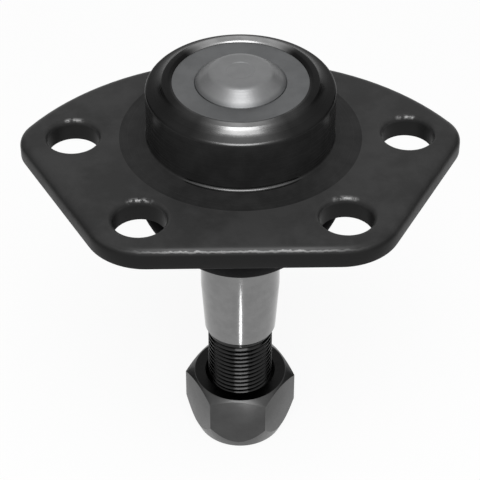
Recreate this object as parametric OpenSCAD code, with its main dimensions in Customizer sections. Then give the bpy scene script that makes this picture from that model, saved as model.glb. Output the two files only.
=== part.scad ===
// Bolt-on suspension ball joint: four-hole flange, rolled housing, domed cover and tapered ball stud.
// Millimetres. The origin is the ball's centre, in the plane of the flange plate's flat underside.
// +Z points out through the domed cover, and the stud hangs along -Z.

/* [Flange plate] */
// Thickness of the stamped plate
plate_t = 6; // [4:0.5:9]
// Plate left in front of the front holes' centres
front_land = 12.6; // [11:0.2:20]
// Flat left between the collar and the rounded rear edge
rear_land = 1; // [0.2:0.1:6]
// Radius of the two side corners
side_corner_r = 9.3; // [8.5:0.1:11]
// How far the centre of each side corner lies outside its rear hole
side_corner_out = 4.4; // [3:0.2:8]
// How far the centres of the side corners lie behind the rear holes
side_corner_back = 0.3; // [-1:0.1:2]
// Radius of the two front corners
front_corner_r = 16; // [12:0.5:20]
// How far the centre of each front corner lies inside its front hole
front_corner_in = 1.8; // [0:0.2:4]
// Rounding of the plate's upper edge, left by the stamping
plate_edge_r = 2.6; // [1:0.1:3.4]
// Rounding of the plate's lower edge
plate_foot_r = 0.6; // [0.2:0.1:0.8]

/* [Bolt holes] */
// Diameter of the four holes, for M12 bolts
hole_d = 13.5; // [10.5:0.5:15]
// Rounding of each hole's upper rim
hole_rim_r = 1.1; // [0.2:0.1:1.4]
// Spacing of the rear pair, which lies in line with the ball's centre
rear_hole_spacing = 86; // [84:0.2:96]
// Spacing of the front pair
front_hole_spacing = 50.6; // [46:0.2:58]
// How far in front of the ball's centre the front pair lies
front_hole_y = 33.4; // [33:0.2:38]

/* [Housing] */
// Height of the collar that seats the housing on the plate
collar_h = 0.8; // [0.4:0.1:2]
// Width of the collar
collar_w = 7; // [4:0.2:9]
// Rounding at the foot of the wall, on the collar
wall_foot_r = 0.6; // [0.2:0.1:1]
// Wall of the housing round the cover
housing_wall = 3.7; // [2.8:0.1:6]
// Width of the step that the cover sits on
cover_seat = 1.6; // [1.4:0.1:2.4]
// Height of the rolled rim above the top of the housing's plain wall
rim_h = 3.25; // [2.6:0.05:4]
// Rounding of the shoulder, between the wall and the rolled rim
shoulder_r = 1; // [0.4:0.1:1.4]
// How far the rolled rim reaches in over the cover
rim_grip = 2.3; // [1.4:0.05:2.6]
// Slope of the rim's mouth, on the radius
rim_mouth_slope = 0.85; // [0.4:0.05:1.6]
// Width of the rolled rim's crest
rim_crest_w = 1.85; // [1.2:0.05:2.4]
// Rounding of the crest's outer edge
rim_crest_r = 0.35; // [0.2:0.05:0.6]
// Width of the ring that is staked into the plate's countersink from below
stake_w = 1; // [0.6:0.1:1.6]
// Depth from the plate to the top of the boot's groove
groove_drop = 4.2; // [3:0.1:5]
// Width of the boot's groove
groove_w = 4.4; // [4:0.1:5]
// Depth of the groove in the housing's wall
groove_depth = 2.7; // [2:0.1:3]
// How far the lip below the groove stands out from its bottom
lip_h = 1.2; // [0.8:0.1:1.6]
// Height of the lip below the groove
lip_t = 4.6; // [3.6:0.1:6]

/* [Cover] */
// Thickness of the cover plate
cover_t = 2.4; // [1.6:0.1:3]
// Depth of the cover's face below the top of the rim
cover_sink = 0.6; // [0.5:0.1:1.6]
// Diameter of the dome at its foot
dome_foot_d = 23; // [20:0.2:27]
// Diameter of the dome's flat top
dome_top_d = 15; // [10:0.2:17]
// Height of the dome
dome_h = 3.4; // [2:0.1:5]
// Diameter of the shallow round mark on the dome
dome_mark_d = 7.4; // [4:0.2:9]
// Depth of the round mark
dome_mark_h = 0.15; // [0.05:0.05:0.4]
// Cross-section diameter of the sealing ring under the cover
seal_wire_d = 1; // [0.8:0.1:1]

/* [Ball and bearings] */
// Diameter of the ball
ball_d = 32; // [31:0.2:33]
// Diameter of the stud's neck, where it leaves the ball
neck_d = 16.5; // [15:0.1:16.5]
// Height of the flat on top of the ball, above its centre
ball_flat_z = 14; // [12:0.2:15]
// Depth of the split between the stud's head and the half ball bearing
head_split = 1.6; // [0.5:0.1:3]
// Depth of the half ball bearing's lower face
half_ball_foot = 11.4; // [10:0.1:12]
// Running clearance of a bearing or shaft, on the radius
run_gap = 0.05; // [0.02:0.01:0.1]
// Play left where one inner piece drops into another
fit_gap = 0.05; // [0.02:0.01:0.1]
// Wall of the bearings between the ball and the housing
bearing_wall = 2.85; // [2.4:0.05:4]
// Depth of the lower bearing's mouth, which the neck swings in
mouth_depth = 8.5; // [8:0.1:9]
// Wall left round the mouth at the foot of the housing
foot_wall = 4.3; // [3.6:0.1:5]
// Thickness of the upper bearing above the ball
upper_crown = 1.75; // [1.2:0.05:2]
// Diameter of the grease hole in the upper bearing
grease_hole_d = 8; // [5:0.5:12]

/* [Preload] */
// Room for the spring between the pressure plate and the cover
spring_room = 1.35; // [1.2:0.05:3]
// Thickness of the pressure plate
pressure_t = 1; // [0.6:0.1:1.2]
// Wire diameter of the preload spring
spring_wire = 1.2; // [1:0.1:1.4]
// Turns of the preload spring
spring_turns = 3; // [2:0.5:3]
// Middle diameter of the spring's widest turn
spring_wide_d = 15.6; // [14:0.2:16]
// Middle diameter of the spring's narrowest turn
spring_narrow_d = 8.4; // [6:0.2:9]

/* [Stud] */
// Diameter of the plain shank
shank_d = 21.6; // [20:0.1:22]
// Depth at which the neck's flare starts
neck_end = 15; // [14.5:0.5:17]
// Depth at which the shank reaches its full diameter
shank_start = 23; // [20:0.5:26]
// Depth at which the taper starts
taper_start = 44.2; // [42:0.2:48]
// Length of the taper
taper_len = 15; // [12:0.5:17]
// Diameter lost over each unit of taper length: 1 in 8
taper_ratio = 0.125; // [0.08:0.005:0.15]
// Nominal diameter of the thread
thread_d = 18; // [16:0.5:18]
// How far the stud's threaded end stops short of the nut's foot at rest
end_inset = 0.8; // [0.2:0.1:3]
// Chamfer at the end of the thread
end_chamfer = 1.4; // [0.5:0.1:2]

/* [Dust boot] */
// Wall thickness of the boot
boot_wall = 1.8; // [1.2:0.1:2.2]
// Diameter of the boot's widest part
boot_wide_d = 53.6; // [51:0.2:56]
// Depth of the boot's widest part
boot_wide_z = 13.5; // [12.5:0.5:15]
// Radius of the bowl between the widest part and the lip
boot_bowl_r = 37; // [26:1:60]
// Depth of the boot's lower lip
boot_foot = 32; // [31:0.2:34]
// Height of the boot's lower lip along the stud
boot_lip_h = 5.2; // [5:0.2:6]
// Wall of the boot's lower lip
boot_lip_w = 2.2; // [1.9:0.1:2.6]
// Thickness of the boot's upper bead
bead_t = 1.9; // [1.4:0.1:2.2]
// Thickness of the clamp ring round the bead
clamp_t = 0.9; // [0.6:0.1:1.4]
// Wire diameter of the garter ring in the lower lip
garter_wire = 1.4; // [1:0.1:1.6]

/* [Lock nut] */
// Width of the nut across its flats
nut_af = 27; // [26:0.5:30]
// Depth of the nut's upper face at rest
nut_top = 77.6; // [76:0.2:77.8]
// Height of the nut
nut_h = 19; // [18.8:0.1:21]
// Diameter of the chamfer circle on the upper face
nut_face_d = 26; // [24:0.2:28]
// Diameter of the crown's foot
crown_d = 25; // [24:0.1:26]
// Height at which the crown's cone meets the nut's corners, above its foot
crown_h = 7.8; // [5:0.2:9]
// Turn of the nut on its thread as it is seen at rest
nut_turn = 56.1; // [0:0.1:60]
// Height of the locking insert
insert_h = 3.4; // [2:0.1:4]
// Thickness of the crown's edge that is turned in over the insert
insert_lip = 0.9; // [0.6:0.1:1.4]
// Wall of the locking insert
insert_w = 1.7; // [1.4:0.1:1.8]

/* [Hidden] */
$fn = 96;
cut = 0.5;                       // overshoot of a cutting tool past a face
ball_r = ball_d / 2;
socket_r = ball_r + run_gap;     // inner sphere of both bearings
bore_r = socket_r + bearing_wall;
inner_r = bore_r - fit_gap;      // outer wall of what drops into the housing's bore
cover_bore_r = bore_r + cover_seat;
cover_r = cover_bore_r - fit_gap;
housing_r = cover_bore_r + housing_wall;
upper_top = socket_r + upper_crown;
pressure_top = upper_top + fit_gap + pressure_t;
cover_foot = pressure_top + spring_room;
cover_top = cover_foot + cover_t;
rim_top = cover_top + cover_sink;
shoulder_z = rim_top - rim_h;
rebate = seal_wire_d + 0.1;      // corner rebate in the housing that holds the sealing ring
floor_z = -4.9;                  // where the housing's bore turns in to its conical floor
mouth_r = sqrt(pow(ball_r, 2) - pow(mouth_depth, 2));
floor_sum = bore_r - floor_z;    // radius plus depth is the same all down the 45 degree floor
throat_edge = 0.9;               // height of the lower bearing's end face
throat_z = -mouth_depth - throat_edge;
throat_r = floor_sum + throat_z;
bearing_split = 0.5;             // height of the joint between the upper and lower bearings
mouth_lip = 1;                   // width of the lower bearing's end face
upper_chamfer = 2.4;             // chamfer round the top of the upper bearing
pressure_margin = 5.4;           // room left round the pressure plate in the bore
pressure_r = bore_r - pressure_margin;
pressure_hole_r = grease_hole_d / 2 - 1.6;
groove_top = -groove_drop;
groove_foot = groove_top - groove_w;
groove_r = housing_r - groove_depth;
groove_edge = 0.4;               // rounding of the groove's bottom edges
lip_r = groove_r + lip_h;
lip_slope = 0.5;                 // drop of the lip's upper face
lip_chamfer = 1;
housing_foot = groove_foot - lip_t;
foot_mouth_r = lip_r - lip_chamfer - foot_wall;
shank_r = shank_d / 2;
neck_r = neck_d / 2;
thread_r = thread_d / 2;
taper_end = taper_start + taper_len;
taper_end_r = shank_r - taper_len * taper_ratio / 2;
thread_lead = 1.4;               // slope from the taper's small end down to the thread
thread_start = taper_end + thread_lead;
nut_foot = nut_top + nut_h;
stud_end = nut_foot - end_inset;
bead_r = groove_r + fit_gap;
bead_out = bead_r + bead_t;
bead_gap = 0.15;                 // play between the bead and the groove's sides
clamp_r = bead_out + fit_gap;
clamp_margin = 1;                // part of the groove's width left free on each side of the clamp ring
clamp_foot = groove_foot + clamp_margin;
boot_lip_r = shank_r + run_gap + boot_lip_w;
garter_gap = 0.25;               // room round the garter ring in its groove
garter_drop = 1.5;               // depth of the garter ring below the top of the lip's sleeve
garter_z = -boot_foot + boot_lip_h - garter_drop;

// Points of an arc round [cx, cy], from angle a0 to a1
function arc(cx, cy, r, a0, a1, n = 12) =
    [for (i = [0:n]) let (a = a0 + (a1 - a0) * i / n) [cx + r * cos(a), cy + r * sin(a)]];

// Plate outline
// The corners are set out from the holes. The rear arc's centre lies on the Y axis, and the side
// corners touch it from inside.
rear_hole_x = rear_hole_spacing / 2;
front_hole_x = front_hole_spacing / 2;
plate_front = front_hole_y + front_land;
plate_rear = housing_r + collar_w + rear_land + plate_edge_r;
side_x = rear_hole_x + side_corner_out;
side_y = side_corner_back;
side_back = plate_rear - side_y;
rear_arc_r = (pow(side_x, 2) + pow(side_back, 2) - pow(side_corner_r, 2)) / (2 * (side_back - side_corner_r));
rear_centre_y = plate_rear - rear_arc_r;
side_corner_angle = atan2(side_y - rear_centre_y, side_x);
front_corner_x = front_hole_x - front_corner_in;
front_y = -plate_front + front_corner_r;
corner_dx = front_corner_x - side_x;
corner_dy = front_y - side_y;
corner_gap = norm([corner_dx, corner_dy]);
// Direction that the straight slanted side faces
slant = atan2(corner_dy, corner_dx) + acos((side_corner_r - front_corner_r) / corner_gap);

// Outline of the plate, drawn in by an inset: it runs clockwise from the middle of the rear arc
function outline(inset) =
    let (half = concat(
            arc(0, rear_centre_y, rear_arc_r - inset, 90, side_corner_angle, 18),
            arc(side_x, side_y, side_corner_r - inset, side_corner_angle, slant, 10),
            arc(front_corner_x, front_y, front_corner_r - inset, slant, -90, 12)))
    concat(half, [for (i = [len(half) - 1:-1:1]) [-half[i][0], half[i][1]]]);

// Inset and height of each ring of the plate's edge, from the rounded foot up to the rounded top
foot_steps = 3;
top_steps = 8;
edge_rings = concat(
    [for (i = [0:foot_steps]) let (a = 90 * i / foot_steps)
        [plate_foot_r * (1 - sin(a)), plate_foot_r * (1 - cos(a))]],
    [for (i = [0:top_steps]) let (a = 90 * i / top_steps)
        [plate_edge_r * (1 - cos(a)), plate_t - plate_edge_r * (1 - sin(a))]]);

module plate_blank() {
    rings = [for (e = edge_rings) [for (p = outline(e[0])) [p[0], p[1], e[1]]]];
    n = len(rings[0]);
    top = len(rings) - 1;
    walls = [for (i = [0:top - 1], j = [0:n - 1])
        let (k = (j + 1) % n)
        [i * n + j, i * n + k, (i + 1) * n + k, (i + 1) * n + j]];
    ends = [[for (j = [n - 1:-1:0]) j], [for (j = [0:n - 1]) top * n + j]];
    polyhedron(points = [for (r = rings) for (p = r) p], faces = concat(walls, ends), convexity = 4);
}

module bolt_hole(x, y) {
    hole_r = hole_d / 2;
    translate([x, y, -cut]) cylinder(r = hole_r, h = plate_t + 2 * cut);
    // rounded upper rim
    translate([x, y, plate_t - hole_rim_r]) rotate_extrude() difference() {
        square([hole_r + hole_rim_r, hole_rim_r + cut]);
        translate([hole_r + hole_rim_r, 0]) circle(hole_rim_r, $fn = 32);
    }
}

module flange_plate() {
    color([0.17, 0.17, 0.18]) difference() {
        plate_blank();
        translate([0, 0, -cut]) cylinder(r = housing_r, h = plate_t + 2 * cut);
        // countersink that the housing is staked into
        translate([0, 0, -stake_w]) cylinder(r1 = housing_r + 2 * stake_w, r2 = housing_r, h = 2 * stake_w);
        for (side = [-1, 1]) {
            bolt_hole(side * rear_hole_x, 0);
            bolt_hole(side * front_hole_x, -front_hole_y);
        }
    }
}

// The rim is rolled over the cover: a crest that falls a little outwards, and from its outer edge
// a hollow slope, steep at first and almost level where it meets the shoulder
rim_mouth_r = cover_bore_r - rim_grip;
rim_toe_r = rim_mouth_r - rim_mouth_slope;
rim_mouth_edge = 0.12;           // rounding at the top of the mouth
crest_fall = 0.18;               // fall of the crest from its mouth to its outer edge
crest_c = [rim_mouth_r + rim_crest_w - rim_crest_r, rim_top - crest_fall - rim_crest_r];
crest_steep = 42;                // how far the normal stands up at the top of the hollow
shoulder_steep = 78;             // and at the shoulder
hollow_top = crest_c + rim_crest_r * [cos(crest_steep), sin(crest_steep)];
shoulder_c = [housing_r - shoulder_r, shoulder_z];
hollow_foot = shoulder_c + shoulder_r * [cos(shoulder_steep), sin(shoulder_steep)];
// the slopes at the hollow's two ends meet here
hollow_bend = [hollow_foot[0] + 0.6 * (hollow_top[0] - hollow_foot[0]),
               hollow_foot[1] + 0.22 * (hollow_top[1] - hollow_foot[1])];
hollow_steps = 8;

module housing() {
    wall_foot_z = plate_t + collar_h;
    collar_steps = 6;
    color([0.14, 0.14, 0.15]) rotate_extrude() polygon(concat(
        // outside, from the foot up past the lip and the boot's groove to the staked ring
        [[foot_mouth_r, housing_foot], [lip_r - lip_chamfer, housing_foot],
         [lip_r, housing_foot + lip_chamfer], [lip_r, groove_foot - lip_slope],
         [groove_r + groove_edge, groove_foot], [groove_r, groove_foot + groove_edge / 4],
         [groove_r, groove_top - groove_edge / 4], [groove_r + groove_edge, groove_top],
         [housing_r - groove_edge, groove_top], [housing_r, groove_top + groove_edge],
         [housing_r, 0], [housing_r + stake_w, 0], [housing_r, stake_w],
         [housing_r, plate_t], [housing_r + collar_w, plate_t]],
        // hollow slope of the collar
        [for (i = [1:collar_steps]) let (t = i / collar_steps)
            [housing_r + wall_foot_r + (collar_w - wall_foot_r) * (1 - t), plate_t + collar_h * pow(t, 1.6)]],
        arc(housing_r + wall_foot_r, wall_foot_z + wall_foot_r, wall_foot_r, 255, 180, 5),
        // shoulder, rolled rim and its mouth, closed on the cover
        arc(shoulder_c[0], shoulder_c[1], shoulder_r, 0, shoulder_steep, 6),
        [for (i = [1:hollow_steps - 1]) let (t = i / hollow_steps)
            pow(1 - t, 2) * hollow_foot + 2 * t * (1 - t) * hollow_bend + t * t * hollow_top],
        arc(crest_c[0], crest_c[1], rim_crest_r, crest_steep, 84, 3),
        [[rim_mouth_r + 2 * rim_mouth_edge, rim_top], [rim_mouth_r, rim_top - rim_mouth_edge],
         [rim_toe_r, cover_top + fit_gap], [cover_bore_r, cover_top + fit_gap]],
        // seat of the cover, rebate of the sealing ring, the bore and its conical floor
        [[cover_bore_r, cover_foot - fit_gap], [bore_r + rebate, cover_foot - fit_gap],
         [bore_r + rebate, cover_foot - fit_gap - rebate], [bore_r, cover_foot - fit_gap - rebate],
         [bore_r, floor_z], [throat_r, throat_z]]));
}

module cover_plate() {
    foot_r = dome_foot_d / 2;
    top_r = dome_top_d / 2;
    slope = 0.72;                // how much the inside of the dome draws in against the outside
    edge_r = 0.8;                // rounding round the dome's flat top
    fillet = 0.5;                // fillet round the dome's foot
    flank = 90 - atan2(dome_h, foot_r - top_r);  // how far the dome's side stands up
    color([0.42, 0.43, 0.45]) difference() {
        rotate_extrude() polygon(concat(
            [[0, cover_foot + dome_h], [top_r - slope, cover_foot + dome_h], [foot_r - slope, cover_foot],
             [cover_r, cover_foot], [cover_r, cover_top]],
            [[foot_r + fillet, cover_top], [foot_r, cover_top + 0.4 * fillet]],
            arc(top_r - edge_r / 2, cover_top + dome_h - edge_r, edge_r, flank, 90, 5),
            [[0, cover_top + dome_h]]));
        translate([0, 0, cover_top + dome_h - dome_mark_h]) cylinder(d = dome_mark_d, h = dome_mark_h + cut);
    }
}

module cover_seal() {
    ring_r = bore_r + rebate / 2;
    color([0.05, 0.05, 0.05]) rotate_extrude()
        translate([ring_r, cover_foot - fit_gap - rebate / 2]) circle(d = seal_wire_d, $fn = 24);
}

// Points of the spring's middle line: a conical coil that narrows upwards, with flat end turns
spring_low = pressure_top + fit_gap + spring_wire / 2;
spring_high = cover_foot + dome_h - fit_gap - spring_wire / 2;
function coil(t) =
    let (a = 360 * spring_turns * t,
         r = (spring_wide_d + (spring_narrow_d - spring_wide_d) * t) / 2,
         rise = min(max((t - 0.12) / 0.76, 0), 1))
    [r * cos(a), r * sin(a), spring_low + (spring_high - spring_low) * rise];

module preload_spring() {
    rings = 20 * spring_turns;
    sides = 8;
    pts = [for (i = [0:rings], j = [0:sides - 1])
        let (c = coil(i / rings), a = 360 * spring_turns * i / rings, b = 360 * j / sides)
        c + spring_wire / 2 * [cos(b) * cos(a), cos(b) * sin(a), sin(b)]];
    walls = [for (i = [0:rings - 1], j = [0:sides - 1])
        let (k = (j + 1) % sides)
        [i * sides + j, (i + 1) * sides + j, (i + 1) * sides + k, i * sides + k]];
    ends = [[for (j = [0:sides - 1]) j], [for (j = [sides - 1:-1:0]) rings * sides + j]];
    color([0.6, 0.6, 0.62]) polyhedron(points = pts, faces = concat(walls, ends));
}

module pressure_plate() {
    color([0.55, 0.55, 0.57]) translate([0, 0, upper_top + fit_gap]) difference() {
        cylinder(r = pressure_r, h = pressure_t);
        translate([0, 0, -cut]) cylinder(r = pressure_hole_r, h = pressure_t + 2 * cut);
    }
}

module upper_bearing() {
    color([0.86, 0.85, 0.8]) difference() {
        rotate_extrude() polygon([[0, bearing_split], [inner_r, bearing_split],
            [inner_r, upper_top - upper_chamfer], [inner_r - upper_chamfer, upper_top], [0, upper_top]]);
        sphere(socket_r, $fn = 96);
        cylinder(d = grease_hole_d, h = upper_top + cut);
    }
}

module lower_bearing() {
    color([0.86, 0.85, 0.8]) difference() {
        rotate_extrude() polygon([[mouth_r - mouth_lip, 0], [inner_r, 0], [inner_r, floor_z - fit_gap],
            [throat_r - fit_gap, throat_z], [mouth_r, -mouth_depth], [mouth_r - mouth_lip, -mouth_depth]]);
        sphere(socket_r, $fn = 96);
    }
}

// The ring that completes the ball round the stud's neck
module half_ball_bearing() {
    color([0.6, 0.5, 0.32]) difference() {
        sphere(ball_r, $fn = 96);
        translate([0, 0, -head_split - run_gap]) cylinder(r = ball_r + cut, h = 2 * ball_r);
        translate([0, 0, -half_ball_foot - 2 * ball_r]) cylinder(r = ball_r + cut, h = 2 * ball_r);
        translate([0, 0, -ball_r]) cylinder(r = neck_r + run_gap, h = 2 * ball_r);
    }
}

module ball_stud() {
    color([0.5, 0.5, 0.51]) union() {
        intersection() {
            sphere(ball_r, $fn = 96);
            translate([0, 0, -head_split]) cylinder(r = ball_r + cut, h = head_split + ball_flat_z);
        }
        rotate_extrude() polygon(concat(
            [[0, 0], [neck_r, 0], [neck_r, -neck_end]],
            // flare from the neck to the shank
            [for (i = [1:8]) let (t = i / 8)
                [neck_r + (shank_r - neck_r) * (1 - cos(180 * t)) / 2,
                 -neck_end - (shank_start - neck_end) * t]],
            [[shank_r, -taper_start], [taper_end_r, -taper_end], [thread_r, -thread_start],
             [thread_r, -stud_end + end_chamfer], [thread_r - end_chamfer, -stud_end], [0, -stud_end]]));
    }
}

// Centre of the circle of radius r through p and q, on the right of the way from p to q
function arc_centre(p, q, r) =
    let (h = norm(q - p) / 2, d = (q - p) / (2 * h))
    (p + q) / 2 + sqrt(r * r - h * h) * [d[1], -d[0]];
function bearing(c, p) = atan2(p[1] - c[1], p[0] - c[0]);

// The boot hangs in a bowl from the bead in the housing's groove to the lip on the stud
boot_lip_turn = 0.6;             // drop from the bowl's end to the lip's foot
bulge_r = 4.6;                   // rounding from the bead out to the widest part
bead_p = [bead_out, clamp_foot - 0.1];
wide_p = [boot_wide_d / 2, -boot_wide_z];
foot_p = [boot_lip_r, -boot_foot + boot_lip_turn];
bulge_c = arc_centre(bead_p, wide_p, bulge_r);
bowl_c = arc_centre(wide_p, foot_p, boot_bowl_r);

module dust_boot() {
    inner_bulge = bulge_r - boot_wall;
    lip_top = -boot_foot + boot_lip_h;
    // the bowl's inside stops short of the lip, where the lip's sleeve stands up
    bowl_stop = bearing(bowl_c, [boot_lip_r + 1, foot_p[1] + 2.2]);
    color([0.04, 0.04, 0.045]) difference() {
        rotate_extrude() polygon(concat(
            [[bead_r, groove_top - bead_gap], [bead_out, groove_top - bead_gap]],
            arc(bulge_c[0], bulge_c[1], bulge_r, bearing(bulge_c, bead_p), bearing(bulge_c, wide_p), 6),
            arc(bowl_c[0], bowl_c[1], boot_bowl_r, bearing(bowl_c, wide_p), bearing(bowl_c, foot_p), 14),
            [[boot_lip_r - 0.3, -boot_foot], [shank_r + run_gap, -boot_foot], [shank_r + run_gap, lip_top],
             [boot_lip_r, lip_top]],
            arc(bowl_c[0], bowl_c[1], boot_bowl_r - boot_wall, bowl_stop, bearing(bowl_c, wide_p), 14),
            arc(bulge_c[0], bulge_c[1], inner_bulge, bearing(bulge_c, wide_p), bearing(bulge_c, bead_p), 6),
            // round the housing's lip and back into the groove
            [[lip_r + bead_gap, groove_foot - lip_slope + bead_gap],
             [groove_r + groove_edge, groove_foot + bead_gap], [bead_r, groove_foot + bead_gap]]));
        // groove of the garter ring
        rotate_extrude() translate([boot_lip_r, garter_z]) circle(r = garter_wire / 2 + garter_gap, $fn = 24);
    }
}

module boot_clamp_ring() {
    color([0.55, 0.56, 0.58]) rotate_extrude()
        translate([clamp_r, clamp_foot]) square([clamp_t, groove_w - 2 * clamp_margin]);
}

module boot_garter_ring() {
    color([0.6, 0.6, 0.62]) rotate_extrude()
        translate([boot_lip_r, garter_z]) circle(d = garter_wire, $fn = 24);
}

module lock_nut() {
    corner_r = nut_af / 2 / cos(30);
    face_r = nut_face_d / 2;
    crown_r = crown_d / 2;
    top_slope = tan(36);
    crown_edge = 0.3;            // broken edge round the crown's foot
    insert_grip = 0.6;           // how far the crown's turned-in edge covers the insert
    countersink = 0.9;           // countersink of the thread
    bore = thread_r + run_gap;
    insert_r = bore + insert_w + fit_gap;
    color([0.24, 0.24, 0.25]) translate([0, 0, -nut_foot]) difference() {
        intersection() {
            rotate([0, 0, nut_turn]) cylinder(r = corner_r, h = nut_h, $fn = 6);
            rotate_extrude() polygon([[0, 0], [crown_r - crown_edge, 0], [crown_r, crown_edge],
                [corner_r, crown_h], [corner_r + cut, crown_h],
                [corner_r + cut, nut_h - (corner_r + cut - face_r) * top_slope],
                [face_r, nut_h], [0, nut_h]]);
        }
        translate([0, 0, -cut]) cylinder(r = bore, h = nut_h + 2 * cut);
        translate([0, 0, insert_lip]) cylinder(r = insert_r, h = insert_h + 2 * fit_gap);
        translate([0, 0, -cut]) cylinder(r = insert_r - insert_grip, h = insert_lip + 2 * cut);
        translate([0, 0, nut_h - countersink])
            cylinder(r1 = bore, r2 = bore + 2 * countersink, h = 2 * countersink);
    }
}

module nut_insert() {
    color([0.2, 0.3, 0.6]) translate([0, 0, -nut_foot + insert_lip + fit_gap]) difference() {
        cylinder(r = thread_r + run_gap + insert_w, h = insert_h);
        translate([0, 0, -cut]) cylinder(r = thread_r + run_gap, h = insert_h + 2 * cut);
    }
}

flange_plate();
housing();
cover_plate();
cover_seal();
preload_spring();
pressure_plate();
upper_bearing();
lower_bearing();
half_ball_bearing();
ball_stud();
dust_boot();
boot_clamp_ring();
boot_garter_ring();
lock_nut();
nut_insert();
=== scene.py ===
# Bolt-on suspension ball joint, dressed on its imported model
from math import asin, atan2, cos, hypot, pi, radians, sin, sqrt, tan

import bpy
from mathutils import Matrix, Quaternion, Vector


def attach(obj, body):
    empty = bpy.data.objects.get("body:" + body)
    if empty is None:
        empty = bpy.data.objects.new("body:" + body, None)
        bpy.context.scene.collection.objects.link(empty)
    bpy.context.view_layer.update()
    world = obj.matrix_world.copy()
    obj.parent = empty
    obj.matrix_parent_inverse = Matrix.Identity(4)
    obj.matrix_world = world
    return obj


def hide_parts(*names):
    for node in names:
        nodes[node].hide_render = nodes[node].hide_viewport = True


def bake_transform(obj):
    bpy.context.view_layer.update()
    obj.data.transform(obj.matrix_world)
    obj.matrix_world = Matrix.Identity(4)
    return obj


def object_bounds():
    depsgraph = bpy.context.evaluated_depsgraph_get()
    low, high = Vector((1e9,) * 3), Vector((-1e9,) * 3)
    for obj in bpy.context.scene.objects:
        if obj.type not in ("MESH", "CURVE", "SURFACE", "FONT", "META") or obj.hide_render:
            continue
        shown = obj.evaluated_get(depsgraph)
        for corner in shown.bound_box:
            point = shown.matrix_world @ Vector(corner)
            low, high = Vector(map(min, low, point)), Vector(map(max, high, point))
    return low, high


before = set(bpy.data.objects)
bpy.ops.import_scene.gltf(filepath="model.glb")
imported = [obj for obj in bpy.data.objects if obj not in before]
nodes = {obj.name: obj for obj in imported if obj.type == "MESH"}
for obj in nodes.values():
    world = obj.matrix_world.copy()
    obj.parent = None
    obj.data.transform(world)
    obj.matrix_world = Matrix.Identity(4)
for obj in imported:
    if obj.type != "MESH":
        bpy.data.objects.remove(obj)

mm = 0.001
cadLow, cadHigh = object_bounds()
print("frame loaded:", len(nodes), "nodes")


# Shared modelling steps

def startClean():
    if bpy.context.object and bpy.context.object.mode != "OBJECT":
        bpy.ops.object.mode_set(mode="OBJECT")
    bpy.ops.object.select_all(action="DESELECT")


def pick(piece):
    startClean()
    piece.select_set(True)
    bpy.context.view_layer.objects.active = piece


def applyAll(piece):
    pick(piece)
    for modifier in list(piece.modifiers):
        bpy.ops.object.modifier_apply(modifier=modifier.name)


def smooth(piece, angle):
    pick(piece)
    bpy.ops.object.shade_smooth_by_angle(angle=radians(angle))


def arc(centre, radius, first, last, steps):
    turns = [first + (last - first) * i / steps for i in range(steps + 1)]
    return [(centre[0] + radius * cos(a), centre[1] + radius * sin(a)) for a in turns]


def bearing(centre, point):
    return atan2(point[1] - centre[1], point[0] - centre[0])


def centreRightOf(p, q, radius):  # centre of an arc from p to q, on the right of the way
    half = hypot(q[0] - p[0], q[1] - p[1]) / 2
    along = ((q[0] - p[0]) / (2 * half), (q[1] - p[1]) / (2 * half))
    rise = sqrt(radius ** 2 - half ** 2)
    return ((p[0] + q[0]) / 2 + rise * along[1], (p[1] + q[1]) / 2 - rise * along[0])


def drawProfile(name, profile):  # one vertex, extruded along the profile's points in the XZ plane
    startClean()
    bpy.ops.mesh.primitive_plane_add(size=mm, location=(0, 0, 0))
    piece = bpy.context.object
    piece.name = name
    piece.data.name = name
    bpy.ops.object.mode_set(mode="EDIT")
    bpy.ops.mesh.merge(type="CENTER")
    here = profile[0]
    bpy.ops.transform.translate(value=(here[0] * mm, 0, here[1] * mm))
    for point in profile[1:]:
        step = ((point[0] - here[0]) * mm, 0, (point[1] - here[1]) * mm)
        bpy.ops.mesh.extrude_region_move(TRANSFORM_OT_translate={"value": step})
        here = point
    return piece


def turnProfile(name, profile, steps=128, angle=30):  # a turned piece, round the Z axis
    piece = drawProfile(name, profile)
    bpy.ops.mesh.select_all(action="SELECT")
    bpy.ops.mesh.spin(steps=steps, angle=2 * pi, center=(0, 0, 0), axis=(0, 0, 1))
    bpy.ops.mesh.select_all(action="SELECT")
    bpy.ops.mesh.remove_doubles(threshold=0.002 * mm)
    bpy.ops.mesh.normals_make_consistent(inside=False)
    smooth(piece, angle)
    return piece


# Dust boot: a bowl from the bead in the housing's groove to the lip on the stud
boot = {
    "beadInner": 21.55, "beadOuter": 23.45, "beadTop": -4.35, "beadFoot": -7.7, "beadLow": -8.45,
    "bulge": 4.6, "wideRadius": 26.8, "wideDepth": -13.5, "innerTurn": ((22.85, -8.95), (21.9, -8.45)),
    "bowl": 37, "wall": 1.8, "bendTop": -6.7, "seam": -17.9, "bendFoot": -27.5,
    "lipOuter": 13.05, "lipInner": 10.85, "lipFoot": -32, "lipTop": -26.8, "lipTurn": 0.6,
    "lipRound": 0.3, "lipEdge": ((0.1, 0.25), (0.4, 0)), "innerStop": (1, 2.2),
    "groove": 0.95, "grooveDepth": -28.3,
}


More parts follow.
